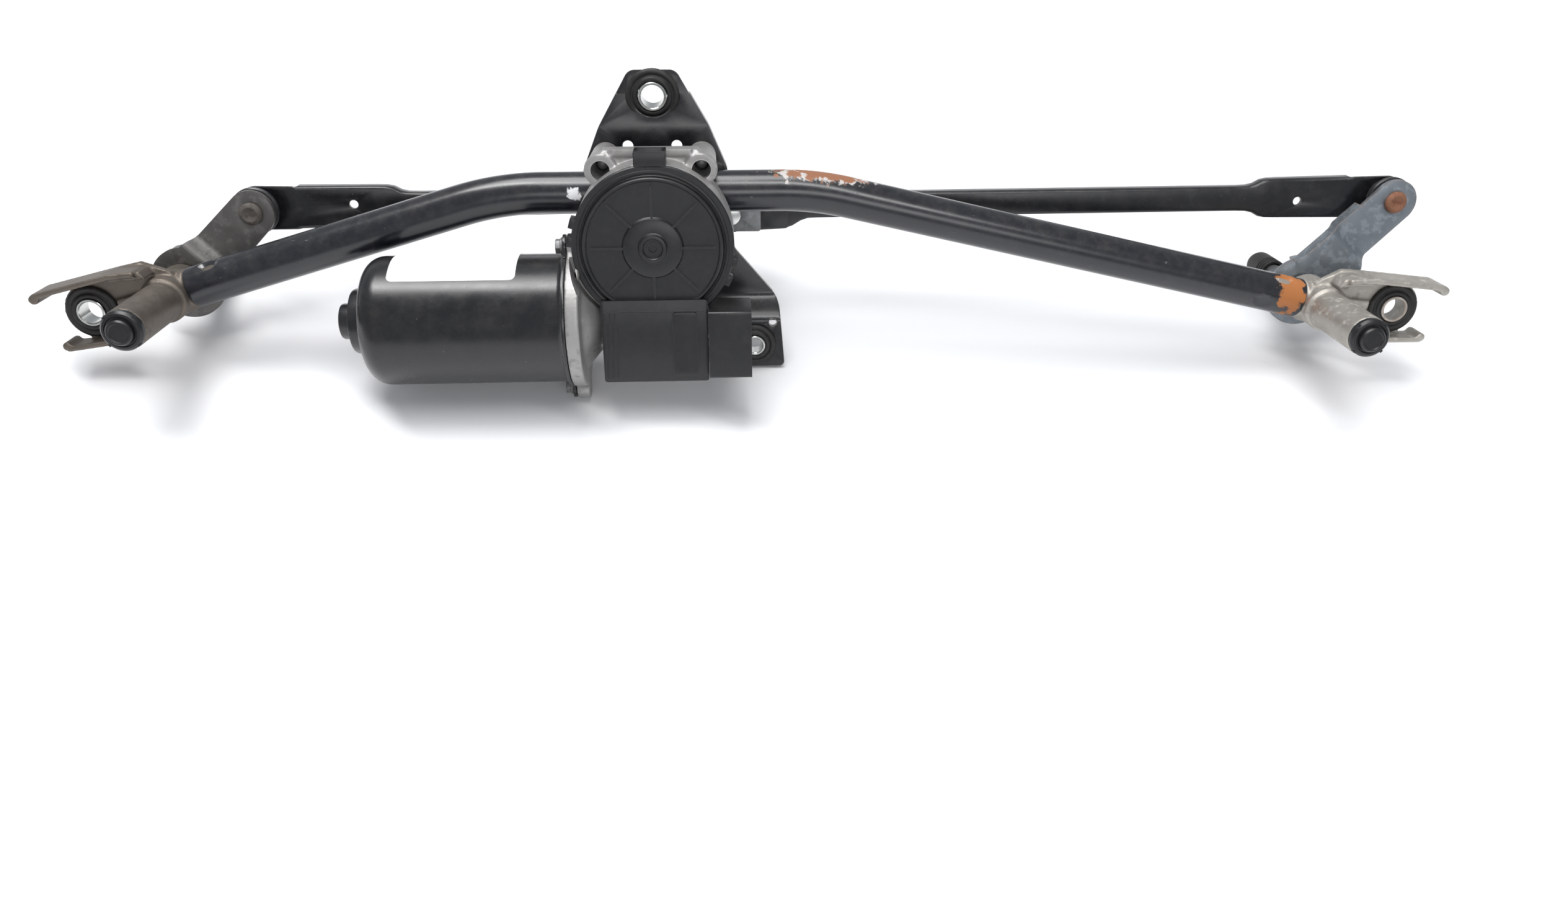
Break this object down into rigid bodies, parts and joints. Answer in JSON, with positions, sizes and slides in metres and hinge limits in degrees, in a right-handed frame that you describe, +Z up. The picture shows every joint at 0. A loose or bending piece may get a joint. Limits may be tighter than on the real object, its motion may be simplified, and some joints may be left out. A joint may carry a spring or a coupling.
{
  "type": "windshield wiper linkage",
  "caption": "Wiper drive for a car: a bent tube frame holds a gear motor whose crank swings two spindles through pressed links and levers.",
  "frame": {"origin": "middle of the base of the bounding box, on the surface that the part rests on", "axes": "+X along the tube from the driver's left pivot to the right one as seen from the motor side, +Y away from the motor's cover, +Z up as the part lies on its two spindle caps and the motor flange"},
  "size_m": [0.7678, 0.147, 0.147],
  "materials": {
    "black_paint": "semi-gloss black paint, scuffed, chipped and rusted in patches",
    "black_steel": "black coated stamped steel with worn edges",
    "black_plastic": "fine-grained moulded black plastic",
    "rubber": "dusty black rubber",
    "cast_alloy": "rough casting, dirty and corroded",
    "zinc_plate": "dull galvanised steel with mottling and rust on its cut edges",
    "bright_steel": "bright zinc plate",
    "rusty_steel": "rusty steel rivet heads and balls",
    "socket_plastic": "smooth dark moulded plastic",
    "bronze": "sintered bronze",
    "copper": "copper windings and bars",
    "ferrite": "dark ceramic magnet",
    "carbon": "pressed carbon",
    "nylon": "natural moulded nylon",
    "contact_board": "resin board with tinned pins"
  },
  "bodies": {
    "frame": {"frame_tube": "black_paint", "motor_bracket": "black_steel", "bracket_top_grommet": "rubber", "bracket_top_sleeve": "bright_steel", "bracket_foot_grommet": "rubber", "bracket_foot_sleeve": "bright_steel", "left_ear_grommet": "rubber", "left_ear_sleeve": "bright_steel", "right_ear_grommet": "rubber", "right_ear_sleeve": "bright_steel", "gear_housing": "cast_alloy", "bracket_bolt_1": "zinc_plate", "bracket_bolt_2": "zinc_plate", "bracket_bolt_3": "zinc_plate", "motor_can": "black_paint", "motor_screw_1": "zinc_plate", "motor_screw_2": "zinc_plate", "front_magnet": "ferrite", "rear_magnet": "ferrite", "upper_brush": "carbon", "lower_brush": "carbon", "brush_holder": "black_plastic", "motor_end_bush": "bronze", "worm_bush": "bronze", "output_bush": "bronze", "gear_cover": "black_plastic", "cover_gasket": "rubber", "connector_shell": "black_plastic", "contact_board": "contact_board", "left_pivot_housing": "cast_alloy", "left_spindle_bush": "bronze", "left_barrel_cap": "black_plastic", "right_pivot_housing": "cast_alloy", "right_spindle_bush": "bronze", "right_barrel_cap": "black_plastic"},
    "crank": {"worm_wheel": "nylon", "output_shaft": "bright_steel", "crank_arm": "zinc_plate", "crank_nut": "zinc_plate", "crank_ball_stud": "bright_steel"},
    "armature": {"armature_shaft": "bright_steel", "armature_core": "copper", "commutator": "copper"},
    "left_lever": {"left_spindle": "zinc_plate", "left_lever": "zinc_plate", "left_lever_ball_stud": "rusty_steel", "left_arm_end_cap": "rubber"},
    "left_link": {"left_link_rod": "black_steel", "left_link_crank_socket": "socket_plastic", "left_link_lever_socket": "socket_plastic"},
    "right_lever": {"right_spindle": "zinc_plate", "right_lever": "zinc_plate", "right_lever_ball_stud": "rusty_steel", "right_arm_end_cap": "rubber"},
    "right_link": {"right_link_rod": "black_steel", "right_link_crank_socket": "socket_plastic", "right_link_lever_socket": "socket_plastic", "right_link_outer_ball_stud": "rusty_steel"}
  },
  "joints": [
    {"name": "motor_spin", "type": "hinge", "parent": "frame", "child": "armature", "pos_m": [-0.05511, -0.03263, 0.04623], "axis": [0.9997, 0.0042, 0.0223], "range_deg": [0, 9900]},
    {"name": "crank_turn", "type": "hinge", "parent": "frame", "child": "crank", "pos_m": [-0.0559, 0.01836, 0.07206], "axis": [-0.0042, -0.9307, 0.3658], "range_deg": [0, 180]},
    {"name": "left_lever_swing", "type": "hinge", "parent": "frame", "child": "left_lever", "pos_m": [-0.31857, 0.00481, 0.03455], "axis": [-0.0042, -0.9307, 0.3658], "range_deg": [0, 97.39]},
    {"name": "left_link_turn", "type": "hinge", "parent": "left_lever", "child": "left_link", "pos_m": [-0.2808, 0.01842, 0.06961], "axis": [-0.0042, -0.9307, 0.3658], "range_deg": [-96.7, 0]},
    {"name": "right_lever_swing", "type": "hinge", "parent": "frame", "child": "right_lever", "pos_m": [0.3201, 0.00191, 0.03455], "axis": [-0.0042, -0.9307, 0.3658], "range_deg": [0, 69.62]},
    {"name": "right_link_turn", "type": "hinge", "parent": "right_lever", "child": "right_link", "pos_m": [0.36918, 0.02069, 0.08289], "axis": [-0.0042, -0.9307, 0.3658], "range_deg": [-67.54, 0]}
  ],
  "couplings": [
    {"joint": "crank_turn", "follows": "motor_spin", "ratio": 0.018182},
    {"joint": "left_lever_swing", "follows": "motor_spin", "ratio": 0.0098373},
    {"joint": "left_link_turn", "follows": "motor_spin", "ratio": -0.0097673},
    {"joint": "right_lever_swing", "follows": "motor_spin", "ratio": 0.0070324},
    {"joint": "right_link_turn", "follows": "motor_spin", "ratio": -0.0068219}
  ]
}
